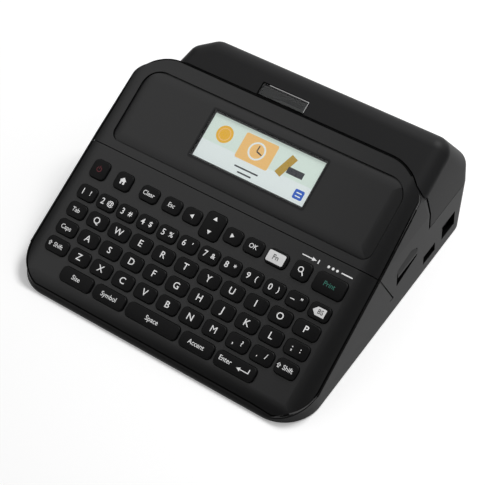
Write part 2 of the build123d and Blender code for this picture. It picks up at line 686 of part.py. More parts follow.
def mechanism_frame():
    """Tray under the cassette with its walls, the deck beside it and the brackets of the drives."""
    shape = bay_box(-91, 51, -29.5, 24, -28.5, TRAY_W)
    shape += bay_box(51, 62, -29.5, 24, -28.5, TRAY_W)
    shape += bay_box(-44, 51, -29.5, -28, -28.5, -14)
    shape += bay_box(-44, 51, 22.5, 24, -28.5, -18)
    shape += bay_box(49.5, 51, -22, 24, -28.5, -4)
    shape += bay_box(49.5, 93, -18, 22, -6, -4)
    shape += bay_box(91.5, 93, -18, 22, -18, -4)
    shape += bay_box(-72, -48, -28, -6, -36, -34.8) + bay_box(-72, -48, -29.5, -28, -36, -28.5)
    shape += bay_box(-72, -70.5, -29.5, -6, -36, -28.5)
    shape += bay_box(-79.2, -77.9, 13, 21, -34, -28.5)
    shape += bay_box(-72, -44, 24, 29.6, -28.5, TRAY_W)
    for name in ("reduction", "idler"):
        (x, s), _ = GEARS[name]
        shape += bay_post(x, s, GEAR_W0 - 0.4, -28.5, 1.5)
    for name, radius in (("platen", 1.9), ("feed", 1.9), ("spindle", 2.4)):
        (x, s), _ = GEARS[name]
        shape -= bay_post(x, s, -40, -20, radius)
    (x, s), _ = GEARS["motor"]
    shape -= bay_post(x, s, -40, -34, 4.2)
    shape -= bay_box(-82.6, -79.4, 10.5, 22.8, -29, -26)
    pivot_s, pivot_w = CUTTER_PIVOT
    return shape + BAY_FRAME * rod(-82.2, -77.9, pivot_s, pivot_w, 1.2)


def tape_cassette():
    """Tape cassette: a closed box with reel openings and a grip step."""
    body = box(-44, 48, -27, 21.5, TRAY_W, -0.5)
    body = soften(body, body.edges().filter_by(Axis.Z) + body.faces().sort_by(Axis.Z)[-1].edges(), [2.0, 1.0])
    (x, s), _ = GEARS["spindle"]
    body -= post(x, s, -30, 2, 4.2)
    body -= post(22, -4, -4.0, 2, 7.0) - post(22, -4, -5, 3, 3.0)
    body -= box(-45, -38, 17.6, 20.2, -25.6, -1.4)
    body -= box(-18, 10, -18, 12, -1.1, 2)
    return BAY_FRAME * body


def ribbon_spindle():
    """Spindle in the cassette with its gear under the tray."""
    (x, s), _ = GEARS["spindle"]
    shape = train_gear("spindle") + bay_post(x, s, GEAR_W1 - 0.5, -24, 2.0) + bay_post(x, s, -24.5, -5, 3.2)
    for i in range(3):
        shape += BAY_FRAME * Pos(x, s, 0) * Rot(0, 0, 120 * i) * box(2.5, 3.9, -0.5, 0.5, -22, -6)
    return shape


def roller(name, radius):
    """Rubber roller on its shaft, with a gear under the tray."""
    (x, s), _ = GEARS[name]
    return train_gear(name) + bay_post(x, s, GEAR_W1 - 0.5, -24.5, 1.5) + bay_post(x, s, -25, -5, radius)


def print_head():
    """Thermal print head against the platen."""
    return bay_box(-56, -46, 17.0, 18.8, TRAY_W, -3)


def head_heat_sink():
    """Heat sink behind the print head, with three fins."""
    shape = bay_box(-56.5, -45.5, 15.8, 17.0, TRAY_W, -2)
    for w in (-22, -14, -6):
        shape += bay_box(-56.5, -45.5, 12.2, 16.0, w - 0.6, w + 0.6)
    return shape


def drive_motor():
    """Feed motor under the tray."""
    (x, s), _ = GEARS["motor"]
    can = bay_post(x, s, -58, -36, 10) - bay_box(x - 12, x + 12, s + 8.2, s + 12, -60, -34)
    return can + bay_post(x, s, -36.5, GEAR_W1 - 0.2, 1.0)


def fixed_blade():
    """Standing blade beside the exit slot."""
    return bay_box(-79, -78, 19.6, 22.4, TRAY_W, -2.5) + bay_box(-79, -74, 20.4, 22.4, TRAY_W, -25.3)


def cutter_blade():
    """Swinging blade with a toothed sector below its pivot."""
    pivot_s, pivot_w = CUTTER_PIVOT
    arm = Rot(0, 0, CUTTER_REST) * box(-2.0, 2.0, 0, 30.5, 0, 1.2)
    hub = post(0, 0, 0, 1.2, 3.6)
    teeth = tooth_points(CUTTER_SECTOR, radians(-90), -1, 5)
    sector = extrude(make_face(Polyline((0, 0), *teeth, close=True)), 1.2)
    blade = arm + hub + sector - post(0, 0, -1, 3, 1.5)
    return BAY_FRAME * Pos(CUTTER_X, pivot_s, pivot_w) * Location(Plane.YZ) * blade


def cutter_gear_spot():
    """Centre of the cutter pinion in the bay."""
    pivot_s, pivot_w = CUTTER_PIVOT
    return pivot_s, pivot_w - MODULE * (CUTTER_SECTOR + CUTTER_TEETH) / 2


def cutter_pinion():
    """Small gear that drives the swinging blade."""
    s, w = cutter_gear_spot()
    phase = meshed_phase((0, 0), CUTTER_SECTOR, radians(-90), (0, -1), CUTTER_TEETH)
    return BAY_FRAME * Pos(CUTTER_X, s, w) * Location(Plane.YZ) * gear(CUTTER_TEETH, phase, 0, 1.6, 1.0)


def cutter_motor():
    """Motor of the cutter, lying on the floor."""
    spot = BAY_FRAME * Pos(0, *cutter_gear_spot())
    y, z = spot.position.Y, spot.position.Z
    return rod(-77.4, -57, y, z, 4.8) + rod(-81.8, -77, y, z, 0.7)


def motor_cradle():
    """Saddle under the cutter motor, part of the case floor."""
    spot = BAY_FRAME * Pos(0, *cutter_gear_spot())
    y, z = spot.position.Y, spot.position.Z
    return box(-74, -60, y - 4, y + 4, FLOOR_TOP - 0.5, z - 1.5) - rod(-80, -50, y, z, 4.8)


# ---------------------------------------------------------------- electrics
def main_circuit_board():
    """Main circuit board on its standoffs."""
    board = box(63, 95, 22, 77, BOARD_Z, BOARD_Z + 1.6)
    return board - box(62, 68, 44, 60, 0, 10)


def dc_jack():
    """Power socket with its centre pin."""
    z = 13.0
    shape = box(85, 97.3, 63.2, 73.8, BOARD_Z + 1.6, 18.2)
    shape -= rod(88, 99, 68.5, z, 3.4)
    return shape + rod(87, 96.6, 68.5, z, 0.8)


def usb_socket():
    """Data socket with its tongue."""
    y = sum(USB_HOLE_Y) / 2
    shape = box(84, 97.3, y - 6, y + 6, BOARD_Z + 1.6, 13.4)
    shape -= box(87, 99, y - 4.2, y + 4.2, 7.2, 12.4)
    return shape


def battery_cells():
    """Six round cells in three rows of two."""
    cells = []
    for y in (-24.5, -9.0, 6.5):
        for x in (-27, 27):
            cells.append(rod(x - 25, x + 24, y, 11.6, 7.1) + rod(x + 23.5, x + 25.2, y, 11.6, 2.6))
    return Compound(children=cells)


def battery_contacts():
    """Contact plates at both ends of the battery compartment."""
    plates = []
    for x in (-56.4, 56.4):
        plates.append(box(x - 0.6, x + 0.6, -30, 12, 7.0, 16.0))
    return Compound(children=plates)


def rubber_feet():
    """Four feet under the case."""
    return Compound(children=[post(x, y, 0, FLOOR_Z, FOOT_R) for x, y in FEET])


def case_screws():
    """Four equal screws from below."""
    screws = []
    for x, y in SCREWS:
        head = post(x, y, FLOOR_Z + 0.2, FLOOR_Z + 1.4, 2.5) - box(x - 1.5, x + 1.5, y - 0.3, y + 0.3, 0, FLOOR_Z + 0.8)
        screws.append(head + post(x, y, FLOOR_Z + 1.2, 10.6, 1.2))
    return Compound(children=screws)


# ---------------------------------------------------------------- output
NODES = (
    base_shell, keyboard_panel, display_housing, display_panel, display_window, lcd_module, tape_cover, cover_window,
    hinge_pins, battery_door, release_lever, key_mat, key_circuit_board, mechanism_frame, tape_cassette,
    ribbon_spindle, print_head, head_heat_sink, drive_motor, fixed_blade, cutter_blade, cutter_pinion, cutter_motor,
    main_circuit_board, dc_jack, usb_socket, battery_cells, battery_contacts, rubber_feet, case_screws,
)


def main():
    """Write every node."""
    os.makedirs("parts", exist_ok=True)
    for node in NODES:
        save(node.__name__, node())
    for name, opening in single_keys().items():
        save(name, single_key(opening))
    for name, openings in key_rows().items():
        save(name, key_row(openings))
    for name, bore in (("reduction", 1.8), ("idler", 1.8)):
        save(name + "_gear", train_gear(name, bore))
    save("motor_pinion", train_gear("motor", 1.3))
    save("platen_roller", roller("platen", 4.5))
    save("feed_roller", roller("feed", 4.0))


if __name__ == "__main__":
    main()
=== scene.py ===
import json
import math

import bmesh
import bpy
from mathutils import Matrix, Vector, geometry
from mathutils.bvhtree import BVHTree


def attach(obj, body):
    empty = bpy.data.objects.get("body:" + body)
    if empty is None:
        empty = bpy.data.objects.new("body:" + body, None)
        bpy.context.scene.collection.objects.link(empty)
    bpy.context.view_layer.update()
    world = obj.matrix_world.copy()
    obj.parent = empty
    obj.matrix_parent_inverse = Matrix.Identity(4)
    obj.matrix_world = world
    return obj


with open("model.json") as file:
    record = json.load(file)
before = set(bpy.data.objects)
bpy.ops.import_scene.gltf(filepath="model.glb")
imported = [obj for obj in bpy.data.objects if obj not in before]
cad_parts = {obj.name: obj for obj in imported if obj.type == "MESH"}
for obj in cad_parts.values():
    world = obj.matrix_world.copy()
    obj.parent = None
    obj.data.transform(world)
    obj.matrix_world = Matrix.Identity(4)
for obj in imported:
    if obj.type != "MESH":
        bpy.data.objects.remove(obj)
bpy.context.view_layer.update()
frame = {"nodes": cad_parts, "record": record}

# ------------------------------------------------------------ measures, in mm unless said otherwise
MM = 0.001                      # metres in one millimetre
SLOPE = math.radians(26.3)      # keyboard and display covers
SEAM_Y, SEAM_Z = -11.4, 46.7    # where the two covers meet
LID_SLOPE = math.radians(24.0)  # front face of the tape cover
LID_Y, LID_Z = 47.0, 75.4
BAY_TILT = math.radians(41.1)   # tape compartment
BAY_Y, BAY_Z = 70.7, 54.7

CASE_HALF, CASE_FOOT_Z, CASE_FLARE = 100.5, 0.8, 0.028
CASE_SHOULDER_Z, SHOULDER_LEAN = 48.0, 0.045

KEY_TOP = 1.8                   # crown of a key above the covers
WIDE_KEY = 18.0                 # wider keys are crowned across only
WIDE_CROWN, ROUND_CROWN = 24.0, 42.0
MARK_LIFT, WORD_ON_PLATE_LIFT = 0.06, 0.12
MARK_GRID = 1.0                 # marks on curved tops are cut this finely
CIRCLE_STEPS, CORNER_STEPS = 24, 4

CAMERA_AT = (317.53, -417.35, 625.67)
CAMERA_TO = (14.33, -18.42, 30.0)
CAMERA_ROLL = math.radians(-3.49)
CAMERA_LENS, CAMERA_SENSOR = 101.6, 36.0

SURROUND_LIGHT = 0.41
FLOOR_REACH = 3.0                       # metres
FLOOR_FADE = (0.25, 0.9, 0.16, 0.62)    # from and to a distance in metres, glow at each
LAMP_TARGET = (0, 0, 0.03)              # metres
CARDS = (                               # corners in metres: overhead, front, left, right, low
    ((-0.28, -1.1, 1.2), (0.66, -1.1, 1.2), (0.66, 0.2, 1.2), (-0.28, 0.2, 1.2)),
    ((-0.36, -0.5, 0.02), (0.9, -0.5, 0.02), (0.9, -0.5, 0.6), (-0.36, -0.5, 0.6)),
    ((-1.1, -0.9, 0.02), (-1.1, 0.8, 0.02), (-1.1, 0.8, 0.85), (-1.1, -0.9, 0.85)),
    ((0.9, -0.5, 0.02), (0.9, 0.9, 0.02), (0.9, 0.9, 0.9), (0.9, -0.5, 0.9)),
    ((0.17, -0.3, 0.002), (1.2, -0.3, 0.002), (1.2, 1.2, 0.002), (0.17, 1.2, 0.002)),
)


def on_tilted(x, along, out, y0, z0, angle):
    """Point on a plane that rises to the back by an angle, in metres."""
    return Vector((
        x * MM,
        (y0 + along * math.cos(angle) - out * math.sin(angle)) * MM,
        (z0 + along * math.sin(angle) + out * math.cos(angle)) * MM,
    ))


def on_slope(u, v, n):
    """Point on the keyboard slope: u to the right, v up the slope, n out of it."""
    return on_tilted(u, v, n, SEAM_Y, SEAM_Z, SLOPE)


def on_lid(a, b, c):
    """Point on the front face of the tape cover: a to the right, b up it, c out of it."""
    return on_tilted(a, b, c, LID_Y, LID_Z, LID_SLOPE)


def in_bay(x, s, w):
    """Point in the tape compartment: s down towards the back, w out of its mouth."""
    return on_tilted(x, s, w, BAY_Y, BAY_Z, -BAY_TILT)


# ------------------------------------------------------------ materials
GRAIN_SCALE, GRAIN_DETAIL, GRAIN_DEPTH = 900, 2, 0.0001
CLEAR_ROUGHNESS = 0.12


def new_material(name):
    """Empty node material, its tree and its output."""
    material = bpy.data.materials.new(name)
    material.use_nodes = True
    tree = material.node_tree
    tree.nodes.clear()
    output = tree.nodes.new("ShaderNodeOutputMaterial")
    return material, tree, output


def plastic(name, colour, roughness, specular=0.5, grain=0.0, metal=0.0, glow=0.0):
    """Solid finish, with a fine moulded grain when asked."""
    material, tree, output = new_material(name)
    shader = tree.nodes.new("ShaderNodeBsdfPrincipled")
    shader.inputs["Base Color"].default_value = (*colour, 1)
    shader.inputs["Roughness"].default_value = roughness
    shader.inputs["Specular IOR Level"].default_value = specular
    shader.inputs["Metallic"].default_value = metal
    if glow:
        shader.inputs["Emission Color"].default_value = (*colour, 1)
        shader.inputs["Emission Strength"].default_value = glow
    if grain:
        place = tree.nodes.new("ShaderNodeTexCoord")
        noise = tree.nodes.new("ShaderNodeTexNoise")
        noise.inputs["Scale"].default_value = GRAIN_SCALE
        noise.inputs["Detail"].default_value = GRAIN_DETAIL
        bump = tree.nodes.new("ShaderNodeBump")
        bump.inputs["Strength"].default_value = grain
        bump.inputs["Distance"].default_value = GRAIN_DEPTH
        tree.links.new(place.outputs["Object"], noise.inputs["Vector"])
        tree.links.new(noise.outputs["Fac"], bump.inputs["Height"])
        tree.links.new(bump.outputs["Normal"], shader.inputs["Normal"])
    tree.links.new(shader.outputs["BSDF"], output.inputs["Surface"])
    return material


def clear(name, tint, gloss):
    """Thin clear window: mostly see-through, a little gloss."""
    material, tree, output = new_material(name)
    through = tree.nodes.new("ShaderNodeBsdfTransparent")
    through.inputs["Color"].default_value = (*tint, 1)
    shine = tree.nodes.new("ShaderNodeBsdfGlossy")
    shine.inputs["Roughness"].default_value = CLEAR_ROUGHNESS
    mix = tree.nodes.new("ShaderNodeMixShader")
    mix.inputs["Fac"].default_value = gloss
    tree.links.new(through.outputs["BSDF"], mix.inputs[1])
    tree.links.new(shine.outputs["BSDF"], mix.inputs[2])
    tree.links.new(mix.outputs["Shader"], output.inputs["Surface"])
    return material


FINISHES = {                    # colour, roughness, specular, grain
    "case_plastic": plastic("case black", (0.016, 0.016, 0.0165), 0.5, 0.22, 0.25),
    "cover_plastic": plastic("cover black", (0.0085, 0.0085, 0.0088), 0.32, 0.42, 0.25),
    "panel_plastic": plastic("panel black", (0.0115, 0.0115, 0.0118), 0.35, 0.40, 0.15),
    "lid_plastic": plastic("lid black", (0.015, 0.015, 0.0155), 0.5, 0.12, 0.25),
    "key_plastic": plastic("key black", (0.0062, 0.0062, 0.0064), 0.42, 0.11),
    "light_key_plastic": plastic("plated key black", (0.0062, 0.0062, 0.0064), 0.42, 0.11),
    "clear_plastic": clear("clear window", (0.90, 0.92, 0.92), 0.03),
    "screen_glass": plastic("screen rim black", (0.010, 0.010, 0.011), 0.4, 0.2),
    "steel": plastic("bright steel", (0.55, 0.56, 0.57), 0.3, metal=1.0),
    "frame_plastic": plastic("frame grey", (0.17, 0.18, 0.19), 0.5, 0.4, 0.15),
    "gear_plastic": plastic("gear white", (0.75, 0.74, 0.68), 0.45, 0.4, 0.1),
    "brass": plastic("gear brass", (0.62, 0.45, 0.18), 0.3, metal=1.0),
    "motor_steel": plastic("motor can", (0.42, 0.43, 0.45), 0.35, metal=1.0),
    "heat_sink_aluminium": plastic("heat sink", (0.70, 0.71, 0.73), 0.35, metal=1.0),
    "head_ceramic": plastic("head ceramic", (0.80, 0.79, 0.74), 0.2, 0.5, 0.05),
    "cassette_plastic": plastic("cassette grey", (0.24, 0.24, 0.24), 0.45, 0.3, 0.2),
    "roller_rubber": plastic("dull rubber", (0.02, 0.02, 0.02), 0.7, 0.3, 0.3),
    "circuit_board": plastic("board green", (0.03, 0.12, 0.05), 0.35, 0.5, 0.1),
    "socket_plastic": plastic("socket black", (0.002, 0.002, 0.0022), 0.5, 0.05, 0.1),
    "battery_wrap": plastic("battery wrap", (0.16, 0.18, 0.20), 0.3, 0.5, 0.1),
}
WHITE_INK = plastic("white ink", (0.90, 0.90, 0.90), 0.5, 0.3, 0.1)
PALE_INK = plastic("pale key light", (0.74, 0.74, 0.74), 0.5, 0.3, 0.1)
GREY_INK = plastic("grey ink", (0.12, 0.12, 0.12), 0.5, 0.3, 0.1)
GREEN_INK = plastic("green ink", (0.035, 0.16, 0.12), 0.5, 0.3, 0.1)
RED_INK = plastic("red ink", (0.13, 0.022, 0.03), 0.5, 0.3, 0.1)
# near-black ink for painted shade in joints, in openings and under the lever
PAINTED_SHADE_INK = plastic("painted shade black", (0.0015, 0.0015, 0.0015), 0.9, 0.05)

SLOT_OF = {entry["node"]: entry["material_slot"] for entry in frame["record"]["subparts"]}
for node, obj in frame["nodes"].items():
    obj.data.materials.clear()
    obj.data.materials.append(FINISHES[SLOT_OF[node]])


# ------------------------------------------------------------ meshes and objects
LETTER_SPACING, LETTER_CURVE_STEPS = 0.98, 3


def new_mesh(name, points, faces):
    """Mesh from points in metres and faces."""
    mesh = bpy.data.meshes.new(name)
    mesh.from_pydata(points, [], faces)
    return mesh


def new_object(name, mesh, material):
    """Object of one material, linked to the scene."""
    mesh.materials.clear()
    mesh.materials.append(material)
    obj = bpy.data.objects.new(name, mesh)
    bpy.context.scene.collection.objects.link(obj)
    return obj


def flat_mesh(curve_data):
    """Filled outline as vertices and faces."""
    holder = bpy.data.objects.new("outline", curve_data)
    bpy.context.scene.collection.objects.link(holder)
    bpy.context.view_layer.update()
    evaluated = holder.evaluated_get(bpy.context.evaluated_depsgraph_get())
    mesh = bpy.data.meshes.new_from_object(evaluated)
    bpy.data.objects.remove(holder)
    return mesh


def outline_mesh(loops):
    """Area between closed loops: inner loops cut holes."""
    curve = bpy.data.curves.new("loops", "CURVE")
    curve.dimensions = "2D"
    curve.fill_mode = "BOTH"
    for loop in loops:
        spline = curve.splines.new("POLY")
        spline.points.add(len(loop) - 1)
        for point, (x, y) in zip(spline.points, loop):
            point.co = (x, y, 0, 1)
        spline.use_cyclic_u = True
    return flat_mesh(curve)


def text_mesh(text, size, bold, squeeze=1.0):
    """Word as a filled outline, centred."""
    font = bpy.data.curves.new("text", "FONT")
    font.body = text
    font.size = size
    font.align_x = "CENTER"
    font.align_y = "CENTER"
    font.offset = bold
    font.space_character = LETTER_SPACING
    font.resolution_u = LETTER_CURVE_STEPS
    mesh = flat_mesh(font)
    for vertex in mesh.vertices:
        vertex.co.x *= squeeze
    return mesh


def grid_cut(mesh, step):
    """Cut a flat mesh on a grid, so that it can follow a curved surface."""
    work = bmesh.new()
    work.from_mesh(mesh)
    for axis in (0, 1):
        across = [vertex.co[axis] for vertex in work.verts]
        normal = (1 - axis, axis, 0)
        for i in range(math.ceil(min(across) / step), math.ceil(max(across) / step)):
            parts = work.verts[:] + work.edges[:] + work.faces[:]
            middle = tuple(i * step * c for c in normal)
            bmesh.ops.bisect_plane(work, geom=parts, plane_co=middle, plane_no=normal)
    work.to_mesh(mesh)
    work.free()


def place_mark(name, mesh, u, v, height, where, ink, body):
    """Lay a flat mesh on a surface and let it ride on a body.

    The height is a number on a flat surface, or a function of the place on a curved one.
    """
    curved = callable(height)
    if curved:
        grid_cut(mesh, MARK_GRID)
    for vertex in mesh.vertices:
        a, b = u + vertex.co.x, v + vertex.co.y
        vertex.co = where(a, b, height(a, b) if curved else height)
    obj = new_object(name, mesh, ink)
    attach(obj, body)


def dome(u, v, width, lift=MARK_LIFT):
    """Height function of a key top, a hair above it."""
    def wide(a, b):
        return KEY_TOP - WIDE_CROWN + math.sqrt(WIDE_CROWN ** 2 - (b - v) ** 2) + lift

    def ball(a, b):
        return KEY_TOP - ROUND_CROWN + math.sqrt(ROUND_CROWN ** 2 - (a - u) ** 2 - (b - v) ** 2) + lift

    return wide if width > WIDE_KEY else ball


def arc(x, y, radius, start, end, count):
    """Points from one angle to another, in degrees."""
    angles = [math.radians(start + (end - start) * i / count) for i in range(count + 1)]
    return [(x + radius * math.cos(angle), y + radius * math.sin(angle)) for angle in angles]


def circle(x, y, radius):
    """Closed loop around a point."""
    return arc(x, y, radius, 0, 360, CIRCLE_STEPS)[:-1]


def box(x0, x1, y0, y1):
    """Closed loop of a rectangle."""
    return [(x0, y0), (x1, y0), (x1, y1), (x0, y1)]


def rounded(x0, x1, y0, y1, radius):
    """Closed loop of a rectangle with round corners."""
    corners = ((x1 - radius, y0 + radius, -90), (x1 - radius, y1 - radius, 0),
               (x0 + radius, y1 - radius, 90), (x0 + radius, y0 + radius, 180))
    return [point for x, y, start in corners
            for point in arc(x, y, radius, start, start + 90, CORNER_STEPS)]


# ------------------------------------------------------------ key legends
FUNCTION_ROW, DIGIT_ROW, TOP_ROW = -14.8, -30.5, -42.4      # heights up the slope
MIDDLE_ROW, LOW_ROW, SPACE_ROW = -54.2, -66.0, -77.8
KEY_PLACES = {                  # middle and width of the keys that are pieces of their own
    "key_power": (-82.45, FUNCTION_ROW, 11.9),
    "key_home": (-64.85, FUNCTION_ROW, 11.9),
    "key_clear": (-45.95, FUNCTION_ROW, 13.1),
    "key_escape": (-29.65, FUNCTION_ROW, 12.9),
    "key_left": (-15.35, FUNCTION_ROW, 12.1),
    "key_up_down": (-1.15, FUNCTION_ROW, 13.7),
    "key_right": (13.05, FUNCTION_ROW, 12.1),
    "key_ok": (27.0, FUNCTION_ROW, 12.8),
    "key_function": (42.0, FUNCTION_ROW, 14.3),
    "key_search": (58.65, FUNCTION_ROW, 11.5),
    "key_print": (77.1, -15.2, 20.0),
    "key_backspace": (79.35, DIGIT_ROW, 13.5),
    "key_tab": (-82.05, TOP_ROW, 13.5),
    "key_caps": (-81.75, MIDDLE_ROW, 14.7),
    "key_shift_left": (-81.4, LOW_ROW, 16.2),
    "key_shift_right": (78.5, LOW_ROW, 14.2),
    "key_scale": (-59.1, SPACE_ROW, 23.0),
    "key_symbol": (-35.15, SPACE_ROW, 22.5),
    "key_space": (-4.45, SPACE_ROW, 36.5),
    "key_accent": (26.15, SPACE_ROW, 22.3),
    "key_enter": (51.9, SPACE_ROW, 26.8),
}


def row(body, first, step, v, width, legends):
    """Keys of one row: body, middle, width and legend."""
    return [(body, first + step * i, v, width, text) for i, text in enumerate(legends)]


LETTERS = (
    row("upper_letter_key_row", -66.5, 15.93, TOP_ROW, 14.7, "QWERTYUIO")
    + [("upper_letter_key_row", 77.7, TOP_ROW, 16.4, "P")]
    + row("middle_letter_key_row", -65.6, 15.93, MIDDLE_ROW, 14.7, "ASDFGHJKL")
    + row("lower_letter_key_row", -64.55, 15.9, LOW_ROW, 14.7, "ZXCVBNM")
)
PAIRS = (
    row("digit_key_row", -81.9, 14.65, DIGIT_ROW, 13.4, "1! 2@ 3# 4$ 5% 6' 7& 8* 9( 0) \u2013\"".split())
    + [("middle_letter_key_row", 78.2, MIDDLE_ROW, 15.4, ";:")]
    + row("lower_letter_key_row", 46.75, 15.9, LOW_ROW, 14.7, (",?", "./"))
)
WORDS = (                       # key, word and size
    ("key_clear", "Clear", 3.9), ("key_escape", "Esc", 3.8), ("key_ok", "OK", 3.9),
    ("key_tab", "Tab", 3.8), ("key_caps", "Caps", 3.9), ("key_space", "Space", 4.1),
    ("key_symbol", "Symbol", 4.0), ("key_scale", "Size", 4.0), ("key_accent", "Accent", 4.0),
)
LETTER_SIZE, DIGIT_SIZE, SIGN_SIZE = 5.6, 5.2, 4.2
LETTER_BOLD, SIGN_BOLD, WORD_BOLD, PLATE_WORD_BOLD = 0.05, 0.06, 0.02, 0.05
WORD_SQUEEZE, BACK_WORD_SQUEEZE = 0.95, 0.9
DIGIT_SHIFT, SIGN_SHIFT, SIGN_RISE = -2.4, 2.8, 0.4     # from the middle of a key with two legends
PANEL_SIGN_V, PANEL_SIGN_LIFT = -5.9, 0.03


def on_key(name, mesh, key, shift=(0, 0), ink=WHITE_INK, lift=MARK_LIFT):
    """Lay a mark on a key, shifted from its middle."""
    u, v, width = KEY_PLACES[key]
    place_mark(name, mesh, u + shift[0], v + shift[1], dome(u, v, width, lift), on_slope, ink, key)


def word_on_key(name, text, size, key, shift=(0, 0), ink=WHITE_INK):
    """Lay a word on a key."""
    on_key(name, text_mesh(text, size, WORD_BOLD, WORD_SQUEEZE), key, shift, ink)


def draw_letters():
    """Letters, digits with their signs, and words."""
    for body, u, v, width, text in LETTERS:
        bold = 0.0 if text == "M" else LETTER_BOLD      # a wider outline fills the notch of the M
        mesh = text_mesh(text, LETTER_SIZE, bold)
        place_mark("legend_" + text, mesh, u, v, dome(u, v, width), on_slope, WHITE_INK, body)
    for body, u, v, width, text in PAIRS:
        top = dome(u, v, width)
        left = text_mesh(text[0], DIGIT_SIZE, LETTER_BOLD)
        place_mark("legend_left", left, u + DIGIT_SHIFT, v, top, on_slope, WHITE_INK, body)
        right = text_mesh(text[1], SIGN_SIZE, SIGN_BOLD)
        place_mark("legend_right", right, u + SIGN_SHIFT, v + SIGN_RISE, top, on_slope, WHITE_INK, body)
    for key, text, size in WORDS:
        word_on_key("legend_" + key, text, size, key)


def draw_icons():
    """Arrows, house, magnifier, power sign and the other drawn legends."""
    on_key("arrow_left", outline_mesh([[(1.2, -1.4), (1.2, 1.4), (-1.1, 0)]]), "key_left")
    on_key("arrow_right", outline_mesh([[(-1.2, -1.4), (-1.2, 1.4), (1.1, 0)]]), "key_right")
    for name, v, sign in (("arrow_up", 4.6, 1), ("arrow_down", -4.1, -1)):
        mesh = outline_mesh([[(-1.4, -1.1 * sign), (1.4, -1.1 * sign), (0, 1.2 * sign)]])
        on_key(name, mesh, "key_up_down", (0, v))
    house = [(-2.3, 0.2), (0, 2.3), (2.3, 0.2), (1.6, 0.2), (1.6, -2.0), (0.5, -2.0), (0.5, -0.5),
             (-0.5, -0.5), (-0.5, -2.0), (-1.6, -2.0), (-1.6, 0.2)]
    on_key("house", outline_mesh([house]), "key_home")
    on_key("glass_ring", outline_mesh([circle(-0.4, 0.6, 1.7), circle(-0.4, 0.6, 1.15)]), "key_search")
    handle = [(0.6, -0.7), (1.1, -0.3), (2.4, -2.2), (1.8, -2.6)]
    on_key("glass_handle", outline_mesh([handle]), "key_search")
    ring = arc(0, 0, 1.7, 120, 420, 20) + arc(0, 0, 1.3, 420, 120, 20)
    on_key("power_ring", outline_mesh([ring]), "key_power", ink=RED_INK)
    on_key("power_bar", outline_mesh([box(-0.2, 0.2, 0.3, 2.2)]), "key_power", ink=RED_INK)
    shift = [(-0.6, -1.3), (0.6, -1.3), (0.6, 0.1), (1.4, 0.1), (0, 1.6), (-1.4, 0.1), (-0.6, 0.1)]
    hollow = [(-0.25, -0.95), (0.25, -0.95), (0.25, 0.45), (0.6, 0.45), (0, 1.1), (-0.6, 0.45),
              (-0.25, 0.45)]
    for key in ("key_shift_left", "key_shift_right"):
        on_key("shift_arrow", outline_mesh([shift, hollow]), key, (-4.6, 0))
        word_on_key("shift_word", "Shift", 3.9, key, (1.2, 0))
    word_on_key("enter_word", "Enter", 4.0, "key_enter", (-6.3, 0.4))
    hook = [(-4.0, 0), (-1.6, 1.2), (-1.6, 0.25), (3.4, 0.25), (3.4, 2.4), (3.9, 2.4), (3.9, -0.25),
            (-1.6, -0.25), (-1.6, -1.2)]
    on_key("enter_hook", outline_mesh([hook]), "key_enter", (5.5, -0.4))
    tag = [(-4.1, 0), (-1.6, -2.5), (3.8, -2.5), (3.8, 2.5), (-1.6, 2.5)]
    on_key("back_tag", outline_mesh([tag]), "key_backspace", ink=PALE_INK)
    back_word = text_mesh("BS", 3.9, PLATE_WORD_BOLD, BACK_WORD_SQUEEZE)
    on_key("back_word", back_word, "key_backspace", (0.85, 0), GREY_INK, WORD_ON_PLATE_LIFT)
    on_key("light_plate", outline_mesh([rounded(-5.5, 5.5, -3.3, 3.3, 1.0)]), "key_function", ink=PALE_INK)
    function_word = text_mesh("Fn", 4.3, PLATE_WORD_BOLD)
    on_key("function_word", function_word, "key_function", (0, 0), GREY_INK, WORD_ON_PLATE_LIFT)
    word_on_key("print_word", "Print", 4.0, "key_print", ink=GREEN_INK)


def draw_panel_signs():
    """Small printed signs above two keys: an arrow to a bar, and dots with a bar."""
    arrow = [(-6.0, -0.3), (0.6, -0.3), (0.6, -1.1), (3.4, 0), (0.6, 1.1), (0.6, 0.3), (-6.0, 0.3)]
    dots = [circle(x, 0, 0.8) for x in (-7.0, -4.2, -1.4)]
    for name, loops, u in (("sign_feed", [arrow, box(4.3, 5.0, -1.2, 1.2)], 59.9),
                           ("sign_options", dots + [box(1.2, 8.2, -0.35, 0.35)], 78.0)):
        place_mark(name, outline_mesh(loops), u, PANEL_SIGN_V, PANEL_SIGN_LIFT, on_slope, WHITE_INK, "case")


# ------------------------------------------------------------ screen picture
SCREEN = (-36.1, 39.4, 17.8, 46.3)      # left, right, lower and upper edge on the slope
BAND_RISE = 11.5                        # of the band's lower edge above the screen's
SCREEN_GLOW, DARK_GLOW = 0.42, 0.1


def screen_finish(name, colour, glow=SCREEN_GLOW):
    """Lit picture element."""
    return plastic(name, colour, 0.5, 0.2, glow=glow)


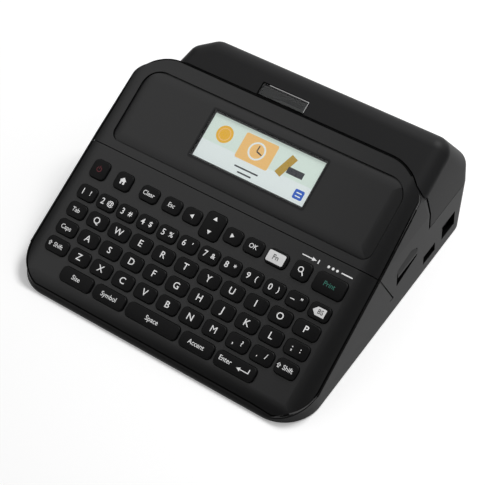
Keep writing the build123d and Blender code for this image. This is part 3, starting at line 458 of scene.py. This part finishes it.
def draw_screen():
    """Plain picture of tiles and bars on a pale ground, and the dark border around it."""
    left, right, lower, upper = SCREEN
    white = screen_finish("picture white", (0.80, 0.82, 0.81))
    mint = screen_finish("picture mint", (0.70, 0.77, 0.70))
    orange = screen_finish("picture orange", (0.88, 0.50, 0.17))
    amber = screen_finish("picture amber", (0.82, 0.42, 0.02))
    gold = screen_finish("picture gold", (0.46, 0.27, 0.03))
    blue = screen_finish("picture blue", (0.008, 0.09, 0.50))
    black = screen_finish("picture black", (0.03, 0.03, 0.04), DARK_GLOW)
    border = plastic("border black", (0.006, 0.006, 0.0065), 0.4, 0.3)
    hands = [[(-1.9, 35.2), (-1.2, 35.0), (-0.9, 39.0), (-1.6, 39.1)],
             [(-1.7, 35.0), (2.2, 34.0), (2.4, 34.7), (-1.5, 35.9)]]
    layers = (                          # name, loops, finish and height on the slope
        ("picture_border", [rounded(-40.2, 43.5, 13.7, 50.4, 1.2), box(*SCREEN)], border, -1.5),
        ("window_edge", [rounded(-38.4, 41.7, 15.5, 48.6, 1.3), rounded(-37.2, 40.5, 16.7, 47.4, 0.5)],
         border, 0.05),
        ("picture_ground", [box(*SCREEN)], white, -1.60),
        ("picture_band", [box(left, right, lower + BAND_RISE, upper)], mint, -1.59),
        ("picture_tile", [rounded(-12.6, 9.6, 27.4, 43.6, 1.2)], orange, -1.57),
        ("picture_dial", [circle(-1.5, 35.5, 5.6), circle(-1.5, 35.5, 4.5)], white, -1.55),
        ("picture_hands", hands, black, -1.53),
        ("picture_disc", [circle(-24.5, 36.6, 5.4)], amber, -1.57),
        ("picture_disc_ring", [circle(-24.5, 36.6, 4.0), circle(-24.5, 36.6, 3.4)], orange, -1.55),
        ("picture_slab", [[(14.0, 29.5), (19.0, 42.5), (23.4, 40.8), (18.4, 27.8)]], gold, -1.57),
        ("picture_slab_dark", [box(20.5, 31.2, 31.5, 35.5)], black, -1.56),
        ("picture_chip", [rounded(30.8, 37.0, 20.2, 26.0, 1.0)], blue, -1.57),
        ("picture_chip_bars", [box(32.2, 35.6, 21.6, 22.3), box(32.2, 35.6, 23.7, 24.4)], white, -1.55),
        ("picture_bars", [box(-9.5, 6.5, 22.4, 23.3), box(-6.0, 3.2, 19.6, 20.5)], black, -1.57),
    )
    for name, loops, finish, n in layers:
        place_mark(name, outline_mesh(loops), 0, 0, n, on_slope, finish, "case")


# ------------------------------------------------------------ tape cover window and what shows in it
def draw_cassette_label():
    """Labels on the cassette, seen through the window of the cover."""
    pale = plastic("label paper", (0.80, 0.80, 0.79), 0.6, 0.3, 0.1)
    grey = plastic("label grey", (0.30, 0.30, 0.30), 0.6, 0.3, 0.1)
    for name, edges, paper, w in (("cassette_label", (-16, 12, -15, 10), grey, -1.05),
                                  ("cassette_label_band", (-14.5, 6, -14.8, -6), pale, -1.0),
                                  ("cassette_label_strip", (-14.5, 6, -27, -15.2), pale, -0.44)):
        place_mark(name, outline_mesh([rounded(*edges, 0.6)]), 0, 0, w, in_bay, paper, "case")


def draw_cover_window_edge():
    """Painted shade in the joint around the window of the tape cover, and a painted highlight on its bevel
    at the back and right.
    """
    # painted highlight: pale grey strips where the bevel catches the light
    bevel = plastic("painted bevel highlight", (0.42, 0.42, 0.42), 0.3)
    # painted shade: a dark ring in the joint around the window
    ring = [rounded(-19.4, 12.8, 0.5, 9.3, 0.7), rounded(-18.6, 12.0, 1.3, 8.5, 0.5)]
    place_mark("cover_window_joint_shade", outline_mesh(ring), 0, 0, 0.05, on_lid, PAINTED_SHADE_INK, "cover")
    for name, edges in (("back", (-14.5, 12.0, 8.4, 8.8)), ("right", (12.0, 12.4, 1.6, 8.8))):
        mesh = outline_mesh([rounded(*edges, 0.15)])
        place_mark("cover_window_highlight_" + name, mesh, 0, 0, 0.11, on_lid, bevel, "cover")


# ------------------------------------------------------------ painted shade in the joints around the top covers
JOINT_TOP, JOINT_LOW, JOINT_DEPTH = -1.9, -4.3, -0.02   # heights on the slope, depth in the side wall
JOINT_START, JOINT_END, JOINT_STEPS = -71.0, 44.0, 30
LINE_INSET, LINE_EDGE, LINE_WIDTH, LINE_STEP = 1.1, 0.05, 0.8, 2.0
LINE_BACK = (25, 45)            # up the slope, the line moves out from its inset to the edge
LINE_RIGHT = (70, 92)           # and so it does to the right
RAY_START = 20                  # above the slope


def case_half_width(z):
    """Half of the case's width at a height."""
    return CASE_HALF - (z - CASE_FOOT_Z) * CASE_FLARE - max(z - CASE_SHOULDER_Z, 0.0) * SHOULDER_LEAN


def strip(name, pairs, closed=False):
    """Strip of painted shade between two lines of points, riding on the case."""
    points = [point for pair in pairs for point in pair]
    faces = [(i - 2, i - 1, i + 1, i) for i in range(2, len(points), 2)]
    if closed:
        faces.append((len(points) - 2, len(points) - 1, 1, 0))
    obj = new_object(name, new_mesh(name, points, faces), PAINTED_SHADE_INK)
    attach(obj, "case")


def draw_side_joint_shade():
    """Painted shade in the joints between the side walls and the top covers."""
    for side, name in ((-1, "joint_shade_left"), (1, "joint_shade_right")):
        pairs = []
        for i in range(JOINT_STEPS + 1):
            v = JOINT_START + (JOINT_END - JOINT_START) * i / JOINT_STEPS
            pair = []
            for n in (JOINT_TOP, JOINT_LOW):
                z = SEAM_Z + v * math.sin(SLOPE) + n * math.cos(SLOPE)
                pair.append(on_slope(side * (case_half_width(z) - JOINT_DEPTH), v, n))
            pairs.append(pair)
        strip(name, pairs)


def covers_on_slope():
    """Surface of the two top covers, and their outline as u, v points at even steps."""
    points, faces = [], []
    for node in ("keyboard_panel", "display_housing"):
        obj = frame["nodes"][node]
        start = len(points)
        points += [obj.matrix_world @ vertex.co for vertex in obj.data.vertices]
        faces += [[start + i for i in polygon.vertices] for polygon in obj.data.polygons]
    flat = []
    for point in points:
        y, z = point.y / MM - SEAM_Y, point.z / MM - SEAM_Z
        flat.append(Vector((point.x / MM, y * math.cos(SLOPE) + z * math.sin(SLOPE))))
    corners = [flat[i] for i in geometry.convex_hull_2d(flat)]
    outline = []
    for here, there in zip(corners, corners[1:] + corners[:1]):
        steps = max(1, round((there - here).length / LINE_STEP))
        outline += [here.lerp(there, i / steps) for i in range(steps)]
    return BVHTree.FromPolygons(points, faces), outline


def share(value, start, end):
    """How far a value has come from a start to an end, from 0 to 1."""
    return min(1, max(0, (value - start) / (end - start)))


def draw_cover_shade_line():
    """Painted shade: a fine dark line along the edge of the top covers, standing for the shadowed joint
    where they sit in the case.
    """
    surface, outline = covers_on_slope()
    out = on_slope(0, 0, 1) - on_slope(0, 0, 0)
    pairs = []
    for i, here in enumerate(outline):
        along = (outline[(i + 1) % len(outline)] - outline[i - 1]).normalized()
        inward = Vector((-along.y, along.x))
        if inward.dot(here) > 0:
            inward.negate()
        near = max(share(here.y, *LINE_BACK), share(here.x, *LINE_RIGHT))
        inset = LINE_INSET + (LINE_EDGE - LINE_INSET) * near
        pair = []
        for step in (inset, inset + LINE_WIDTH):
            spot = here + inward * step
            hit = surface.ray_cast(on_slope(spot.x, spot.y, RAY_START), -out.normalized())[0]
            if hit:
                pair.append(hit + out * MARK_LIFT)
        if len(pair) == 2:
            pairs.append(pair)
    strip("cover_shade_line", pairs, True)


# ------------------------------------------------------------ painted shade in the right side's openings
RECESS_SHADES = (     # name, inner and outer x, corners as y and z, whether the last face is the inner end
    ("usb_shade", 97.9, 100.1, box(39.45, 52.95, 7.05, 13.75), False),
    ("jack_shade", 97.9, 100.05, box(60.95, 75.95, 8.05, 18.95), False),
    ("finger_shade", 94.06, 99.7, [(8.68, 26.0), (8.68, 19.38), (31.32, 24.08), (31.32, 26.0)], True),
)


def draw_recess_shade():
    """Painted shade inside the sockets' openings and under the lever."""
    for name, x_in, x_out, loop, inner_end in RECESS_SHADES:
        points = [Vector((x, y, z)) * MM for y, z in loop for x in (x_in, x_out)]
        count = len(loop)
        faces = [(2 * i, 2 * i + 1, 2 * i + 3, 2 * i + 2) for i in range(count - 1)]
        last_side = (2 * count - 2, 2 * count - 1, 1, 0)
        faces.append(tuple(2 * i for i in range(count)) if inner_end else last_side)
        obj = new_object(name, new_mesh(name, points, faces), PAINTED_SHADE_INK)
        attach(obj, "case")


# ------------------------------------------------------------ surroundings
def floor():
    """Pale floor that keeps the shadow."""
    material, tree, output = new_material("pale floor")
    shader = tree.nodes.new("ShaderNodeBsdfPrincipled")
    shader.inputs["Base Color"].default_value = (0.97, 0.97, 0.97, 1)
    shader.inputs["Roughness"].default_value = 0.9
    shader.inputs["Specular IOR Level"].default_value = 0.0
    # seen directly, it brightens with distance into the white surroundings
    place = tree.nodes.new("ShaderNodeTexCoord")
    distance = tree.nodes.new("ShaderNodeVectorMath")
    distance.operation = "LENGTH"
    tree.links.new(place.outputs["Object"], distance.inputs[0])
    glow = tree.nodes.new("ShaderNodeMapRange")
    for key, value in zip(("From Min", "From Max", "To Min", "To Max"), FLOOR_FADE):
        glow.inputs[key].default_value = value
    tree.links.new(distance.outputs["Value"], glow.inputs["Value"])
    path = tree.nodes.new("ShaderNodeLightPath")
    seen = tree.nodes.new("ShaderNodeMath")
    seen.operation = "MULTIPLY"
    tree.links.new(glow.outputs["Result"], seen.inputs[1])
    tree.links.new(path.outputs["Is Camera Ray"], seen.inputs[0])
    shader.inputs["Emission Color"].default_value = (1, 1, 1, 1)
    tree.links.new(seen.outputs[0], shader.inputs["Emission Strength"])
    tree.links.new(shader.outputs["BSDF"], output.inputs["Surface"])
    corners = [(x, y, 0) for x, y in box(-FLOOR_REACH, FLOOR_REACH, -FLOOR_REACH, FLOOR_REACH)]
    obj = new_object("floor", new_mesh("floor", corners, [(0, 1, 2, 3)]), material)


def surround():
    """Even light from all sides, white where it is seen directly, in gloss or through glass."""
    world = bpy.data.worlds.new("surround")
    world.use_nodes = True
    tree = world.node_tree
    background = tree.nodes["Background"]
    background.inputs["Color"].default_value = (1, 1, 1, 1)
    path = tree.nodes.new("ShaderNodeLightPath")
    seen = path.outputs["Is Camera Ray"]
    for kind in ("Is Glossy Ray", "Is Transmission Ray"):
        either = tree.nodes.new("ShaderNodeMath")
        either.operation = "MAXIMUM"
        tree.links.new(seen, either.inputs[0])
        tree.links.new(path.outputs[kind], either.inputs[1])
        seen = either.outputs[0]
    strength = tree.nodes.new("ShaderNodeMapRange")
    strength.inputs["To Min"].default_value = SURROUND_LIGHT
    strength.inputs["To Max"].default_value = 1.0
    tree.links.new(seen, strength.inputs["Value"])
    tree.links.new(strength.outputs["Result"], background.inputs["Strength"])
    bpy.context.scene.world = world


def dark_cards():
    """Black studio cards, seen only in gloss: they keep the sloping margins of the covers dark."""
    material, tree, output = new_material("black card")
    shader = tree.nodes.new("ShaderNodeBsdfDiffuse")
    shader.inputs["Color"].default_value = (0, 0, 0, 1)
    tree.links.new(shader.outputs["BSDF"], output.inputs["Surface"])
    points = [corner for card in CARDS for corner in card]
    faces = [tuple(range(i, i + 4)) for i in range(0, len(points), 4)]
    obj = new_object("dark_cards", new_mesh("dark_cards", points, faces), material)
    obj.visible_camera = obj.visible_diffuse = obj.visible_shadow = False


def lamp(name, location, size, power):
    """Square soft box aimed at the object: place and size in metres, power in watts."""
    data = bpy.data.lights.new(name, "AREA")
    data.size = size
    data.energy = power
    obj = bpy.data.objects.new(name, data)
    obj.location = location
    obj.rotation_euler = (Vector(LAMP_TARGET) - Vector(location)).to_track_quat("-Z", "Y").to_euler()
    bpy.context.scene.collection.objects.link(obj)


def lights():
    """Soft boxes high at the back right and at the front right."""
    lamp("top", (0.28, 0.6, 1.0), 0.4, 9.5)
    lamp("right", (0.9, -0.6, 0.6), 0.6, 0.2)


def camera():
    """Camera of the photograph."""
    data = bpy.data.cameras.new("camera")
    data.lens = CAMERA_LENS
    data.sensor_width = CAMERA_SENSOR
    obj = bpy.data.objects.new("camera", data)
    place, target = Vector(CAMERA_AT) * MM, Vector(CAMERA_TO) * MM
    back = (place - target).normalized()
    right = (-back).cross(Vector((0, 0, 1))).normalized()
    up = right.cross(-back)
    right_rolled = right * math.cos(CAMERA_ROLL) + up * math.sin(CAMERA_ROLL)
    up_rolled = up * math.cos(CAMERA_ROLL) - right * math.sin(CAMERA_ROLL)
    axes = Matrix((right_rolled, up_rolled, back)).transposed()
    obj.matrix_world = Matrix.Translation(place) @ axes.to_4x4()
    bpy.context.scene.collection.objects.link(obj)
    bpy.context.scene.camera = obj


draw_letters()
draw_icons()
draw_panel_signs()
draw_screen()
draw_cassette_label()
draw_cover_window_edge()
draw_side_joint_shade()
draw_cover_shade_line()
draw_recess_shade()
floor()
surround()
dark_cards()
lights()
camera()
bpy.context.scene.view_settings.view_transform = "Standard"
